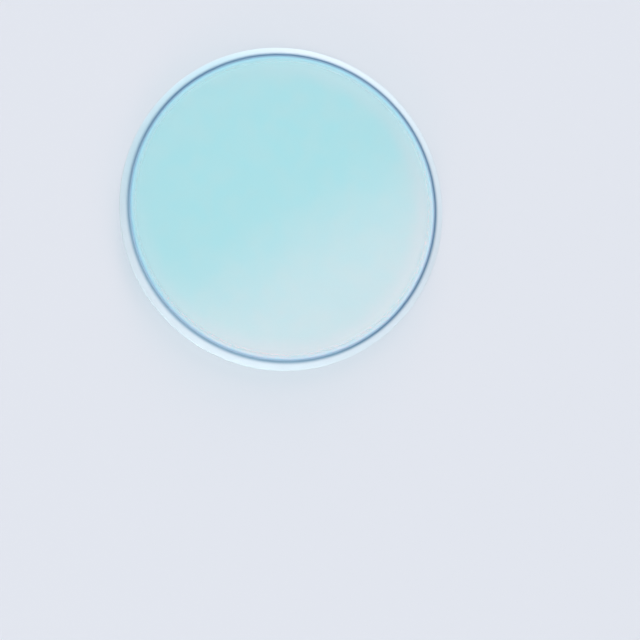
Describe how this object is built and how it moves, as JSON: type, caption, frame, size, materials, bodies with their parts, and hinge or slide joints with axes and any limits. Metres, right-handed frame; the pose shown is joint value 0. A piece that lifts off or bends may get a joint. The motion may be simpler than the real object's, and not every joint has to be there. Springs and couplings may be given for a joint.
{
  "type": "optical filter",
  "caption": "Round flat dichroic glass filter plate, pale cyan, with polished faces and a fine-ground bevelled rim.",
  "frame": {"origin": "centre of the lower polished face", "axes": "+Z along the optical axis, towards the upper face"},
  "size_m": [0.0254, 0.0254, 0.0011],
  "materials": {
    "coated_glass": "polished"
  },
  "bodies": {
    "root": {"filter_disc": "coated_glass"}
  },
  "joints": []
}
